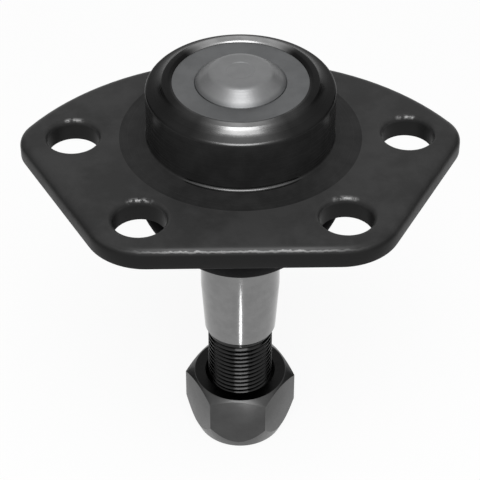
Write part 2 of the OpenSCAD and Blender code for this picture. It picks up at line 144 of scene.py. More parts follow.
def bootParts():
    b = boot
    beadPoint = (b["beadOuter"], b["beadFoot"])
    widePoint = (b["wideRadius"], b["wideDepth"])
    lipPoint = (b["lipOuter"], b["lipFoot"] + b["lipTurn"])
    bulgeCentre = centreRightOf(beadPoint, widePoint, b["bulge"])
    bowlCentre = centreRightOf(widePoint, lipPoint, b["bowl"])
    inner = b["bowl"] - b["wall"]
    innerBulge = b["bulge"] - b["wall"]

    def bowlAngle(depth, radius):
        return asin((depth - bowlCentre[1]) / radius)

    wide = bearing(bowlCentre, widePoint)
    bulgeFrom, bulgeTo = bearing(bulgeCentre, beadPoint), bearing(bulgeCentre, widePoint)
    upper = [(b["beadInner"], b["beadTop"]), (b["beadOuter"], b["beadTop"])]
    upper += arc(bulgeCentre, b["bulge"], bulgeFrom, bulgeTo, 12)
    upper += arc(bowlCentre, b["bowl"], wide, bowlAngle(b["seam"], b["bowl"]), 8)[1:]
    upper += arc(bowlCentre, inner, bowlAngle(b["seam"], inner), wide, 8)
    upper += arc(bulgeCentre, innerBulge, bulgeTo, bulgeFrom, 10)[1:]
    upper += list(b["innerTurn"]) + [(b["beadInner"], b["beadLow"])]

    lipBearing = bearing(bowlCentre, lipPoint)
    stopPoint = (b["lipOuter"] + b["innerStop"][0], lipPoint[1] + b["innerStop"][1])
    innerStop = bearing(bowlCentre, stopPoint)
    groove = arc((b["lipOuter"], b["grooveDepth"]), b["groove"], -pi / 2, -3 * pi / 2, 10)
    lower = arc(bowlCentre, b["bowl"], bowlAngle(b["seam"], b["bowl"]), lipBearing, 18)
    lower += [(b["lipOuter"] - inset, b["lipFoot"] + up) for inset, up in b["lipEdge"]]
    lower += [(b["lipInner"] + b["lipRound"], b["lipFoot"]), (b["lipInner"], b["lipFoot"] + b["lipRound"]),
              (b["lipInner"], b["lipTop"] - b["lipRound"]), (b["lipInner"] + b["lipRound"], b["lipTop"]),
              (b["lipOuter"] - b["lipRound"], b["lipTop"]), (b["lipOuter"], b["lipTop"] - b["lipRound"])]
    lower += groove[::-1]
    lower += arc(bowlCentre, inner, innerStop, bowlAngle(b["seam"], inner), 18)
    return upper, lower


upperProfile, lowerProfile = bootParts()
bootUpper = turnProfile("dust_boot_upper", upperProfile + upperProfile[:1])
bootLower = turnProfile("dust_boot_lower", lowerProfile + lowerProfile[:1])
print("dust boot modelled")


# Ball stud: ball, neck, shank and taper are turned, and the thread is rolled below them
stud = {
    "ball": 16, "flat": 14, "split": 1.6, "neck": 8.25, "neckEnd": 15, "flareSteps": 14,
    "shank": 10.8, "shankStart": 23, "taperStart": 44.2, "taperEnd": 59.2, "taperEndRadius": 9.8625,
    "taperBreak": 0.15, "threadStart": 60.6, "threadRadius": 8.98, "threadDepth": 0.87, "pitch": 1.5,
    "toothMiddle": 0.74, "toothRoot": 0.64, "toothFlank": 0.16, "toothCrest": 0.08, "toothRound": 0.06,
    "end": 95.8, "endChamfer": 1.4, "runOut": 1.6, "sunk": 0.05, "overlap": 0.8,
}


def studProfile():
    s = stud
    top = asin(s["flat"] / s["ball"])
    low = asin(-s["split"] / s["ball"])
    points = [(0, s["flat"])]
    points += arc((0, 0), s["ball"], top, low, 24)
    points += [(s["neck"], -s["split"]), (s["neck"], -s["neckEnd"])]
    for i in range(1, s["flareSteps"] + 1):
        t = i / s["flareSteps"]
        radius = s["neck"] + (s["shank"] - s["neck"]) * (1 - cos(pi * t)) / 2
        points.append((radius, -s["neckEnd"] - (s["shankStart"] - s["neckEnd"]) * t))
    points += [(s["shank"], -s["taperStart"] + s["taperBreak"]), (s["shank"], -s["taperStart"])]
    points += [(s["taperEndRadius"], -s["taperEnd"]), (s["threadRadius"] - s["sunk"], -s["threadStart"])]
    points += [(0, -s["threadStart"])]
    return points


def rollThread():
    s = stud
    root, crest = s["threadRadius"] - s["threadDepth"], s["threadRadius"]
    pitch, start = s["pitch"], -s["end"] - s["pitch"]
    flank, middle = crest - s["toothRound"], s["toothMiddle"]
    tooth = [(root, 0), (root, middle - s["toothRoot"]), (flank, middle - s["toothFlank"]),
             (crest, middle - s["toothCrest"]), (crest, middle + s["toothCrest"]),
             (flank, middle + s["toothFlank"]), (root, middle + s["toothRoot"]), (root, pitch)]
    piece = drawProfile("thread", [(r, start + z) for r, z in tooth])
    bpy.ops.object.mode_set(mode="OBJECT")
    turns = int((s["end"] - s["threadStart"]) / pitch) + 4
    screw = piece.modifiers.new("roll", "SCREW")
    screw.axis = "Z"
    screw.screw_offset = pitch * mm
    screw.iterations = turns
    screw.steps = screw.render_steps = 64
    screw.use_smooth_shade = True
    applyAll(piece)
    bpy.ops.object.mode_set(mode="EDIT")
    bpy.ops.mesh.select_all(action="SELECT")
    bpy.ops.mesh.remove_doubles(threshold=0.002 * mm)
    for depth, clearLow in ((-s["end"], True), (-s["threadStart"] + s["overlap"], False)):
        bpy.ops.mesh.select_all(action="SELECT")
        bpy.ops.mesh.bisect(plane_co=(0, 0, depth * mm), plane_no=(0, 0, 1), use_fill=True,
                            clear_inner=clearLow, clear_outer=not clearLow)
    bpy.ops.mesh.select_all(action="SELECT")
    bpy.ops.mesh.normals_make_consistent(inside=False)
    bpy.ops.object.mode_set(mode="OBJECT")
    for vertex in piece.data.vertices:  # chamfered end, and the thread runs out below the taper
        radius = hypot(vertex.co.x, vertex.co.y)
        if radius < 1 * mm:
            continue
        fromEnd = vertex.co.z / mm + s["end"]
        limit = crest - s["endChamfer"] + fromEnd
        fade = min(max((-s["threadStart"] - vertex.co.z / mm) / s["runOut"], 0), 1)
        wanted = min(crest - (crest - radius / mm) * fade, limit) * mm
        vertex.co.x *= wanted / radius
        vertex.co.y *= wanted / radius
    smooth(piece, 40)
    return piece


studBody = turnProfile("ball_stud_threaded", studProfile(), steps=128, angle=25)
thread = rollThread()
pick(thread)
studBody.select_set(True)
bpy.context.view_layer.objects.active = studBody
bpy.ops.object.join()
print("ball stud turned and threaded")


# Flange plate: the stamped blank, its rounded edges shaded as one sweep
def mergedCopy(node, name, angle):
    source = nodes[node]
    piece = bpy.data.objects.new(name, source.data.copy())
    bpy.context.scene.collection.objects.link(piece)
    pick(piece)
    bpy.ops.object.mode_set(mode="EDIT")
    bpy.ops.mesh.select_all(action="SELECT")
    bpy.ops.mesh.customdata_custom_splitnormals_clear()
    bpy.ops.mesh.remove_doubles(threshold=0.002 * mm)
    bpy.ops.mesh.mark_sharp(clear=True)
    smooth(piece, angle)
    return piece


plate = mergedCopy("flange_plate", "flange_plate_stamped", 24)
print("flange plate merged")


# Housing: turned all over, its rim rolled inwards over the cover
housing = {
    "wallRadius": 24.2, "boreRadius": 18.9, "boreFloor": -4.9, "throatRadius": 14.4, "throat": -9.4,
    "mouthRadius": 17.4, "foot": -13.2, "lipRadius": 22.7, "lipFoot": -12.2, "lipTop": -9.1, "lipChamfer": 1,
    "grooveRadius": 21.5, "grooveFoot": -8.6, "grooveTop": -4.2, "grooveRound": 0.4, "grooveEase": 0.1,
    "stake": 1, "seat": 6.0, "collarRadius": 31.2, "collarHeight": 0.8, "collarSteps": 12, "collarBend": 1.6,
    "filletRadius": 0.6, "filletStart": 255, "shoulder": 19.95, "shoulderRound": 1.0, "shoulderAngle": 78,
    "slopeSteps": 16, "slopeBend": (0.6, 0.22),
    "crestRadius": 19.7, "crest": 22.67, "crestRound": 0.35, "crestAngle": 42, "crestEnd": 84,
    "rimMouth": ((18.44, 23.2), (18.2, 23.15), (17.9, 23.06), (17.6, 22.92), (17.35, 22.65)),
    "coverRadius": 20.5, "coverFoot": 20.15, "coverTop": 22.65, "coverChamfer": 0.9,
    "sealRadius": 20.0, "sealFoot": 19.05,
}


def turnedHousing():
    h = housing
    wall, seat, lip, groove = h["wallRadius"], h["seat"], h["lipRadius"], h["grooveRadius"]
    profile = [(h["throatRadius"], h["throat"]), (h["mouthRadius"], h["foot"]),
               (lip - h["lipChamfer"], h["foot"]), (lip, h["lipFoot"]), (lip, h["lipTop"])]
    profile += [(groove + h["grooveRound"], h["grooveFoot"]), (groove, h["grooveFoot"] + h["grooveEase"]),
                (groove, h["grooveTop"] - h["grooveEase"]), (groove + h["grooveRound"], h["grooveTop"])]
    profile += [(wall - h["grooveRound"], h["grooveTop"]), (wall, h["grooveTop"] + h["grooveRound"])]
    profile += [(wall, 0), (wall + h["stake"], 0), (wall, h["stake"]), (wall, seat)]
    profile += [(h["collarRadius"], seat)]
    collarFoot = wall + h["filletRadius"]
    collarWidth = h["collarRadius"] - collarFoot
    for i in range(1, h["collarSteps"] + 1):
        t = i / h["collarSteps"]
        profile.append((collarFoot + collarWidth * (1 - t), seat + h["collarHeight"] * t ** h["collarBend"]))
    filletCentre = (collarFoot, seat + h["collarHeight"] + h["filletRadius"])
    profile += arc(filletCentre, h["filletRadius"], radians(h["filletStart"]), pi, 7)
    shoulderCentre = (wall - h["shoulderRound"], h["shoulder"])
    profile += arc(shoulderCentre, h["shoulderRound"], 0, radians(h["shoulderAngle"]), 9)
    foot = profile[-1]
    crestCentre = (h["crestRadius"], h["crest"])
    crest = arc(crestCentre, h["crestRound"], radians(h["crestAngle"]), radians(h["crestEnd"]), 7)
    bend = [foot[k] + h["slopeBend"][k] * (crest[0][k] - foot[k]) for k in (0, 1)]
    for i in range(1, h["slopeSteps"]):  # hollow slope of the rolled rim
        t = i / h["slopeSteps"]
        near, middle, far = (1 - t) ** 2, 2 * t * (1 - t), t * t
        profile.append(tuple(near * foot[k] + middle * bend[k] + far * crest[0][k] for k in (0, 1)))
    profile += crest
    profile += h["rimMouth"]
    profile += [(h["coverRadius"] - h["coverChamfer"], h["coverTop"]),
                (h["coverRadius"], h["coverTop"] - h["coverChamfer"]), (h["coverRadius"], h["coverFoot"]),
                (h["sealRadius"], h["coverFoot"]), (h["sealRadius"], h["sealFoot"]),
                (h["boreRadius"], h["sealFoot"]), (h["boreRadius"], h["boreFloor"]),
                (h["throatRadius"], h["throat"])]
    return turnProfile("housing_turned", profile, steps=192, angle=24)


socketHousing = turnedHousing()
print("housing turned")


# Cover plate: pressed, with a soft edge round the dome's top and a crease round its foot
cover = {
    "foot": 20.2, "top": 22.6, "radius": 20.45, "chamfer": 0.9, "domeFoot": 11.5, "domeTop": 7.5,
    "domeHeight": 3.4, "drawIn": 0.72, "edge": 2.7, "markRadius": 3.7, "markDepth": 0.15, "markEdge": 0.3,
    "crease": ((0, 0.05), (0.1, -0.14), (0.3, -0.02), (0.6, 0)),
}


def pressedCover():
    c = cover
    crown = c["top"] + c["domeHeight"]
    lean = atan2(c["domeHeight"], c["domeFoot"] - c["domeTop"])
    tangent = c["edge"] * tan(lean / 2)
    profile = [(0, crown - c["markDepth"]), (c["markRadius"] - c["markEdge"], crown - c["markDepth"]),
               (c["markRadius"], crown)]
    profile += arc((c["domeTop"] - tangent, crown - c["edge"]), c["edge"], pi / 2, pi / 2 - lean, 10)
    profile += [(c["domeFoot"] + out, c["top"] + up) for out, up in c["crease"]]
    profile += [(c["radius"] - c["chamfer"], c["top"]), (c["radius"], c["top"] - c["chamfer"]),
                (c["radius"], c["foot"]), (c["domeFoot"] - c["drawIn"], c["foot"]),
                (c["domeTop"] - c["drawIn"], c["foot"] + c["domeHeight"]), (0, c["foot"] + c["domeHeight"])]
    return turnProfile("cover_plate_pressed", profile, steps=160, angle=22)


pressed = pressedCover()
print("cover plate pressed")


# Lock nut: a hexagon bar turned to its chamfer and its conical crown
nut = {
    "acrossFlats": 27, "foot": -96.6, "height": 19, "turn": -3.9,
    "faceRadius": 13.0, "faceSlope": 36, "crownRadius": 12.5, "crownHeight": 7.8,
    "footEdge": ((0.3, 0), (0.1, 0.06), (0, 0.3)), "edge": 0.22,
    "bore": 9.05, "mouthDepth": 0.9, "mouthWidth": 1.4, "insertRadius": 10.8, "insertHeight": 3.4,
    "insertGap": 0.1, "lip": 0.9, "lipWidth": 0.6, "pastFoot": 1, "pastTop": 0.5,
}


def turnedNut():
    n = nut
    corner = n["acrossFlats"] / 2 / cos(radians(30))
    foot, top = n["foot"], n["foot"] + n["height"]
    over = corner + n["pastTop"]
    profile = [(0, foot)] + [(n["crownRadius"] - inset, foot + up) for inset, up in n["footEdge"]]
    profile += [(corner, foot + n["crownHeight"]), (over, foot + n["crownHeight"]),
                (over, top - (over - n["faceRadius"]) * tan(radians(n["faceSlope"]))),
                (n["faceRadius"], top), (0, top)]
    turned = turnProfile("nut_turned", profile, steps=96)
    lipRadius, lipTop = n["insertRadius"] - n["lipWidth"], foot + n["lip"]
    pocketTop = lipTop + n["insertHeight"] + n["insertGap"]
    past, mouth = foot - n["pastFoot"], top + n["pastTop"]
    hollow = [(0, past), (lipRadius, past), (lipRadius, lipTop), (n["insertRadius"], lipTop),
              (n["insertRadius"], pocketTop), (n["bore"], pocketTop), (n["bore"], top - n["mouthDepth"]),
              (n["bore"] + n["mouthWidth"], mouth), (0, mouth)]
    bore = turnProfile("nut_bore", hollow, steps=96)
    startClean()
    bpy.ops.mesh.primitive_cylinder_add(vertices=6, radius=corner * mm, depth=n["height"] * mm,
                                        location=(0, 0, (n["foot"] + n["height"] / 2) * mm))
    piece = bpy.context.object
    piece.name = "lock_nut_turned"
    piece.data.name = piece.name
    piece.rotation_euler.z = radians(30 + n["turn"])
    bpy.ops.object.transform_apply(location=True, rotation=True, scale=True)
    for tool, operation in ((turned, "INTERSECT"), (bore, "DIFFERENCE")):
        cutModifier = piece.modifiers.new(operation, "BOOLEAN")
        cutModifier.operation = operation
        cutModifier.object = tool
        cutModifier.solver = "EXACT"
    applyAll(piece)
    for tool in (turned, bore):
        bpy.data.objects.remove(tool)
    rounded = piece.modifiers.new("edges", "BEVEL")
    rounded.width = n["edge"] * mm
    rounded.segments = 3
    rounded.limit_method = "ANGLE"
    rounded.angle_limit = radians(22)
    applyAll(piece)
    smooth(piece, 28)
    return piece


lockNut = turnedNut()
print("lock nut turned")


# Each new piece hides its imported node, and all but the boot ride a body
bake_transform(bootUpper)
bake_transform(bootLower)
for piece in (bootUpper, bootLower):
    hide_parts("dust_boot")
for piece, body, node, slot in ((studBody, "stud", "ball_stud", "stud_steel"),
                                (plate, "socket", "flange_plate", "black_plate"),
                                (pressed, "socket", "cover_plate", "cover_steel"),
                                (socketHousing, "socket", "housing", "black_housing"),
                                (lockNut, "nut", "lock_nut", "nut_steel")):
    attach(piece, body)
    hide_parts(node)
print("pieces seated on their bodies")


# Shader helpers
def addNode(tree, kind, inputs=None, **settings):
    node = tree.nodes.new(kind)
    for key, value in settings.items():
        setattr(node, key, value)
    for key, value in (inputs or {}).items():
        if isinstance(value, bpy.types.NodeSocket):
            tree.links.new(value, node.inputs[key])
        else:
            node.inputs[key].default_value = value
    return node


def newGroup(name, inputs, outputs):
    group = bpy.data.node_groups.new(name, "ShaderNodeTree")
    for label, kind, value in inputs:
        socket = group.interface.new_socket(name=label, in_out="INPUT", socket_type=kind)
        if value is not None:
            socket.default_value = value
    for label, kind in outputs:
        group.interface.new_socket(name=label, in_out="OUTPUT", socket_type=kind)
    return group, group.nodes.new("NodeGroupInput"), group.nodes.new("NodeGroupOutput")


def useGroup(tree, group, inputs):
    return addNode(tree, "ShaderNodeGroup", inputs, node_tree=group)


def math(tree, operation, a, b=0.0, clamp=False):
    return addNode(tree, "ShaderNodeMath", {0: a, 1: b}, operation=operation, use_clamp=clamp).outputs[0]


def between(tree, value, low, high, toLow=0.0, toHigh=1.0):
    return addNode(tree, "ShaderNodeMapRange",
                   {"Value": value, "From Min": low, "From Max": high, "To Min": toLow, "To Max": toHigh},
                   interpolation_type="SMOOTHSTEP").outputs["Result"]


def band(tree, value, limits):  # from 0 at the first limit to 1 at the second, both in millimetres
    return between(tree, value, limits[0] * mm, limits[1] * mm)


def mixColour(tree, factor, a, b):
    mix = addNode(tree, "ShaderNodeMix", data_type="RGBA")
    for index, value in ((0, factor), (6, a), (7, b)):
        if isinstance(value, bpy.types.NodeSocket):
            tree.links.new(value, mix.inputs[index])
        else:
            mix.inputs[index].default_value = value
    return mix.outputs[2]


def grey(level, warmth=0.0):
    return (level * (1 + warmth), level, level * (1 - warmth), 1)


def twoGreys(tree, factor, levels, warmth=0.0):
    return mixColour(tree, factor, grey(levels[0], warmth), grey(levels[1], warmth))


# Fine grain and soft blotches
def grainGroup():
    group, start, end = newGroup(
        "grainAndBlotches",
        [("Vector", "NodeSocketVector", None), ("Grain Scale", "NodeSocketFloat", 2500),
         ("Blotch Scale", "NodeSocketFloat", 140)],
        [("Grain", "NodeSocketFloat"), ("Blotches", "NodeSocketFloat")])
    fine = addNode(group, "ShaderNodeTexNoise",
                   {"Vector": start.outputs["Vector"], "Scale": start.outputs["Grain Scale"],
                    "Detail": 4.0, "Roughness": 0.6})
    wide = addNode(group, "ShaderNodeTexNoise",
                   {"Vector": start.outputs["Vector"], "Scale": start.outputs["Blotch Scale"],
                    "Detail": 5.0, "Roughness": 0.62})
    group.links.new(fine.outputs["Fac"], end.inputs["Grain"])
    group.links.new(between(group, wide.outputs["Fac"], 0.34, 0.66), end.inputs["Blotches"])
    return group


# Lines that a lathe leaves: they depend on height and radius alone
def turningGroup():
    group, start, end = newGroup(
        "turningLines",
        [("Vector", "NodeSocketVector", None), ("Line Scale", "NodeSocketFloat", 4000)],
        [("Lines", "NodeSocketFloat")])
    parts = addNode(group, "ShaderNodeSeparateXYZ", {0: start.outputs["Vector"]})
    square = math(group, "ADD", math(group, "POWER", parts.outputs["X"], 2.0),
                  math(group, "POWER", parts.outputs["Y"], 2.0))
    radius = math(group, "SQRT", square)
    around = addNode(group, "ShaderNodeCombineXYZ", {"X": radius, "Z": parts.outputs["Z"]})
    lines = addNode(group, "ShaderNodeTexNoise",
                    {"Vector": around.outputs[0], "Scale": start.outputs["Line Scale"],
                     "Detail": 3.0, "Roughness": 0.7})
    group.links.new(lines.outputs["Fac"], end.inputs["Lines"])
    return group


# Wear and painted highlight: an edge mask broken up by noise
def makeWearHighlightGroup():
    group, start, end = newGroup(
        "edgeWearAndHighlight",
        [("Vector", "NodeSocketVector", None), ("Edge", "NodeSocketFloat", 0.0),
         ("Breakup Scale", "NodeSocketFloat", 400), ("Amount", "NodeSocketFloat", 0.5)],
        [("Mask", "NodeSocketFloat")])
    noise = addNode(group, "ShaderNodeTexNoise",
                    {"Vector": start.outputs["Vector"], "Scale": start.outputs["Breakup Scale"],
                     "Detail": 6.0, "Roughness": 0.65})
    reach = math(group, "ADD", noise.outputs["Fac"], math(group, "SUBTRACT", start.outputs["Amount"], 0.5))
    broken = between(group, reach, 0.42, 0.58)
    group.links.new(math(group, "MULTIPLY", broken, start.outputs["Edge"]), end.inputs["Mask"])
    return group


# Place round the Z axis: radius, height, and how far a point lies to the front
def roundGroup():
    group, start, end = newGroup(
        "roundTheAxis", [("Vector", "NodeSocketVector", None)],
        [("Radius", "NodeSocketFloat"), ("Height", "NodeSocketFloat"), ("Front", "NodeSocketFloat")])
    parts = addNode(group, "ShaderNodeSeparateXYZ", {0: start.outputs["Vector"]})
    square = math(group, "ADD", math(group, "POWER", parts.outputs["X"], 2.0),
                  math(group, "POWER", parts.outputs["Y"], 2.0))
    radius = math(group, "SQRT", square)
    group.links.new(radius, end.inputs["Radius"])
    group.links.new(parts.outputs["Z"], end.inputs["Height"])
    group.links.new(math(group, "DIVIDE", math(group, "MULTIPLY", parts.outputs["Y"], -1.0), radius),
                    end.inputs["Front"])
    return group


grain, turning, wearHighlightGroup, around = grainGroup(), turningGroup(), makeWearHighlightGroup(), roundGroup()


def newMaterial(name):
    material = bpy.data.materials.new(name)
    material.use_nodes = True
    tree = material.node_tree
    shader = tree.nodes["Principled BSDF"]
    place = tree.nodes.new("ShaderNodeTexCoord")
    return material, tree, shader, place


def useSkin(tree, at, look):
    return useGroup(tree, grain,
                    {"Vector": at, "Grain Scale": look["grain"], "Blotch Scale": look["blotches"]})


def roughen(tree, shader, source, limits, low=0.3, high=0.7):
    tree.links.new(between(tree, source, low, high, limits[0], limits[1]), shader.inputs["Roughness"])


def addBump(tree, shader, height, distance, strength=1.0):
    bump = addNode(tree, "ShaderNodeBump",
                   {"Height": height, "Strength": strength, "Distance": distance * mm})
    tree.links.new(bump.outputs["Normal"], shader.inputs["Normal"])
    return bump


plateLook = {
    "grain": 2600.0, "blotches": 90.0, "dark": (0.036, 0.052), "roughness": (0.36, 0.42), "gloss": 0.07,
    "side": 0.022, "sideBand": (5.2, 4.2), "collar": 0.028, "collarBand": (6.02, 6.25), "bareAndHighlight": 0.13,
    "frontBand": (-42.5, -43.2), "acrossBand": (34, 14), "lineHeight": 5.05, "lineBand": (0.26, 0.10),
    "ragged": 420.0, "raggedShift": 1.1, "rubbedAndHighlight": 0.045, "rubbedHighlightTop": (5.95, 5.5), "rubbedHighlightFoot": (4.2, 4.9),
    "spots": ((25.3, -26.9, 3.4, 1.4), (43.0, 6.8, 2.6, 1.0)), "spotEdge": (1.3, 0.5), "spotBand": (5.0, 5.4),
    "spotGrain": 700.0, "spotAmount": 0.52,
}


def plateFinish():
    look = plateLook
    material, tree, shader, place = newMaterial("blackPhosphatePlate")
    at = place.outputs["Object"]
    skin = useSkin(tree, at, look)
    parts = addNode(tree, "ShaderNodeSeparateXYZ", {0: at})
    across = math(tree, "ABSOLUTE", parts.outputs["X"])
    height = parts.outputs["Z"]
    frontEdge = math(tree, "MULTIPLY", band(tree, parts.outputs["Y"], look["frontBand"]),
                     band(tree, across, look["acrossBand"]))

    # Ragged bright line along the front edge: partly worn metal, partly a painted highlight
    ragged = addNode(tree, "ShaderNodeTexNoise",
                     {"Vector": at, "Scale": look["ragged"], "Detail": 5.0, "Roughness": 0.6})
    shift = math(tree, "SUBTRACT", ragged.outputs["Fac"], 0.5)
    shift = math(tree, "MULTIPLY", shift, look["raggedShift"] * mm)
    offLine = math(tree, "SUBTRACT", math(tree, "ADD", height, shift), look["lineHeight"] * mm)
    line = math(tree, "MULTIPLY", band(tree, math(tree, "ABSOLUTE", offLine), look["lineBand"]), frontEdge)

    # Bright spots on the far rims of the holes: partly wear, partly painted highlight
    spots = 0.0
    for holeX, farY, wide, deep in look["spots"]:
        offX = math(tree, "DIVIDE", math(tree, "SUBTRACT", across, holeX * mm), wide * mm)
        offY = math(tree, "DIVIDE", math(tree, "SUBTRACT", parts.outputs["Y"], farY * mm), deep * mm)
        off = math(tree, "ADD", math(tree, "POWER", math(tree, "ABSOLUTE", offX), 2.0),
                   math(tree, "POWER", math(tree, "ABSOLUTE", offY), 2.0))
        spots = math(tree, "ADD", spots, between(tree, off, *look["spotEdge"]))
    spots = math(tree, "MULTIPLY", spots, band(tree, height, look["spotBand"]))
    wearAndHighlight = useGroup(tree, wearHighlightGroup, {"Vector": at, "Edge": spots, "Breakup Scale": look["spotGrain"],
                                 "Amount": look["spotAmount"]})
    bareAndHighlight = math(tree, "MAXIMUM", line, wearAndHighlight.outputs["Mask"])

    # Rubbed band on the front edge's rounding: partly real rubbing, partly a painted highlight glow
    rubbedAndHighlight = math(tree, "MULTIPLY", band(tree, height, look["rubbedHighlightTop"]),
                  math(tree, "MULTIPLY", band(tree, height, look["rubbedHighlightFoot"]), frontEdge))
    colour = twoGreys(tree, skin.outputs["Blotches"], look["dark"])
    # Painted shade: the outer sides and hole walls a darker grey from the lower part of the edge rounding
    # down
    colour = mixColour(tree, band(tree, height, look["sideBand"]), colour, grey(look["side"]))
    colour = mixColour(tree, band(tree, height, look["collarBand"]), colour, grey(look["collar"]))
    colour = mixColour(tree, rubbedAndHighlight, colour, grey(look["rubbedAndHighlight"]))
    # Bare steel grey on the front line and the spots: partly wear, partly painted highlight
    tree.links.new(mixColour(tree, bareAndHighlight, colour, grey(look["bareAndHighlight"])), shader.inputs["Base Color"])
    metal = math(tree, "MAXIMUM", math(tree, "MULTIPLY", rubbedAndHighlight, 0.6), bareAndHighlight)
    tree.links.new(metal, shader.inputs["Metallic"])
    roughen(tree, shader, skin.outputs["Blotches"], look["roughness"], 0, 1)
    shader.inputs["Specular IOR Level"].default_value = look["gloss"]
    addBump(tree, shader, skin.outputs["Grain"], 0.03, 0.3)
    return material


housingLook = {
    "grain": 2600.0, "blotches": 170.0, "lines": 3000.0, "dark": (0.024, 0.032), "roughness": (0.20, 0.30),
    "gloss": 0.05, "rimBand": (20.3, 20.6), "rimPaintedShade": 0.008, "frontPower": 12.0,
    "flank": (0.42, 0.8), "flankHighlight": 0.12, "crestBright": (0.28, 0.15), "crestBand": (20.0, 20.8),
    "slopeBright": 0.105, "slopeBand": (20.8, 22.4), "mouth": 0.30, "mouthBand": (20.2, 19.4),
    "mouthFront": (-0.62, -0.93), "footHeight": (7.9, 7.2), "footBand": (25.2, 24.8),
    "footFront": (0.75, 0.97), "gapShade": 0.004, "gapShadeBand": (18.5, 18.2), "gapShadeFront": (-0.8, -0.5),
}


def housingFinish():
    look = housingLook
    material, tree, shader, place = newMaterial("blackTurnedHousing")
    at = place.outputs["Object"]
    skin = useSkin(tree, at, look)
    lines = useGroup(tree, turning, {"Vector": at, "Line Scale": look["lines"]})
    spot = useGroup(tree, around, {"Vector": at})
    radius, height, ahead = (spot.outputs[name] for name in ("Radius", "Height", "Front"))

    # Painted highlight, partly real burnish: bright steel on the front of the rim, on its mouth at the back,
    # and on the front of the wall's foot
    rim = band(tree, height, look["rimBand"])
    front = math(tree, "POWER", math(tree, "MAXIMUM", ahead, 0.0), look["frontPower"])
    front = math(tree, "MAXIMUM", front, between(tree, ahead, *look["flank"], 0.0, look["flankHighlight"]))
    mouth = math(tree, "MULTIPLY", band(tree, radius, look["mouthBand"]),
                 between(tree, ahead, *look["mouthFront"]))
    foot = math(tree, "MULTIPLY", band(tree, height, look["footHeight"]),
                math(tree, "MULTIPLY", band(tree, radius, look["footBand"]),
                     between(tree, ahead, *look["footFront"])))
    edge = math(tree, "MAXIMUM", math(tree, "MAXIMUM", math(tree, "MULTIPLY", rim, front), mouth), foot)
    wearAndHighlight = math(tree, "MULTIPLY", edge, between(tree, skin.outputs["Blotches"], 0, 1, 0.8, 1.0))

    dark = twoGreys(tree, skin.outputs["Blotches"], look["dark"])
    # Painted shade: the rim a darker grey than the wall wherever no highlight is painted
    dark = mixColour(tree, rim, dark, grey(look["rimPaintedShade"]))
    # Painted shade: the inner slope of the rim's mouth near black, except at the back
    gapShade = math(tree, "MULTIPLY", band(tree, radius, look["gapShadeBand"]), between(tree, ahead, *look["gapShadeFront"]))
    dark = mixColour(tree, gapShade, dark, grey(look["gapShade"]))
    # Grey of the painted highlight: brightest on the crest, darker down the slope, bright again in the mouth
    bright = twoGreys(tree, band(tree, radius, look["crestBand"]), look["crestBright"])
    bright = mixColour(tree, band(tree, radius, look["slopeBand"]), bright, grey(look["slopeBright"]))
    bright = mixColour(tree, mouth, bright, grey(look["mouth"]))
    tree.links.new(mixColour(tree, wearAndHighlight, dark, bright), shader.inputs["Base Color"])
    tree.links.new(between(tree, wearAndHighlight, 0, 0.3, 0.0, 0.95), shader.inputs["Metallic"])
    roughen(tree, shader, lines.outputs["Lines"], look["roughness"])
    shader.inputs["Specular IOR Level"].default_value = look["gloss"]
    addBump(tree, shader, skin.outputs["Grain"], 0.02, 0.3)
    return material


coverLook = {
    "grain": 3000.0, "blotches": 160.0, "lines": 3500.0, "clean": (0.13, 0.20), "dull": (0.11, 0.18),
    "flatTint": -0.02, "domeTint": -0.01, "domeBand": (22.7, 23.6), "roughness": (0.36, 0.46),
}


def coverFinish():
    look = coverLook
    material, tree, shader, place = newMaterial("coverSteel")
    at = place.outputs["Object"]
    skin = useSkin(tree, at, look)
    lines = useGroup(tree, turning, {"Vector": at, "Line Scale": look["lines"]})
    # The raised dome a lighter grey than the flat round it
    dome = band(tree, useGroup(tree, around, {"Vector": at}).outputs["Height"], look["domeBand"])
    clean, dull = (mixColour(tree, dome, grey(flat, look["flatTint"]), grey(raised, look["domeTint"]))
                   for flat, raised in (look["clean"], look["dull"]))
    tree.links.new(mixColour(tree, skin.outputs["Blotches"], clean, dull), shader.inputs["Base Color"])
    shader.inputs["Metallic"].default_value = 1
    roughen(tree, shader, lines.outputs["Lines"], look["roughness"])
    addBump(tree, shader, math(tree, "ADD", lines.outputs["Lines"], skin.outputs["Grain"]), 0.02, 0.4)
    return material


def steelFinish(name, level, roughness=(0.25, 0.35), lineScale=3500.0):
    material, tree, shader, place = newMaterial(name)
    at = place.outputs["Object"]
    skin = useSkin(tree, at, {"grain": 3000.0, "blotches": 160.0})
    lines = useGroup(tree, turning, {"Vector": at, "Line Scale": lineScale})
    colour = twoGreys(tree, skin.outputs["Blotches"], (level, level * 0.6))
    tree.links.new(colour, shader.inputs["Base Color"])
    shader.inputs["Metallic"].default_value = 1
    roughen(tree, shader, lines.outputs["Lines"], roughness)
    addBump(tree, shader, math(tree, "ADD", lines.outputs["Lines"], skin.outputs["Grain"]), 0.02, 0.5)
    return material


studLook = {
    "grain": 3000.0, "blotches": 300.0, "lines": 3500.0, "shank": (0.215, 0.19), "roughness": (0.13, 0.18),
    "speck": 0.08, "speckEdge": (0.30, 0.22), "thread": (0.003, 0.032), "crestBand": (8.2, 8.95),
    "threadBand": (-60.0, -60.6),
}


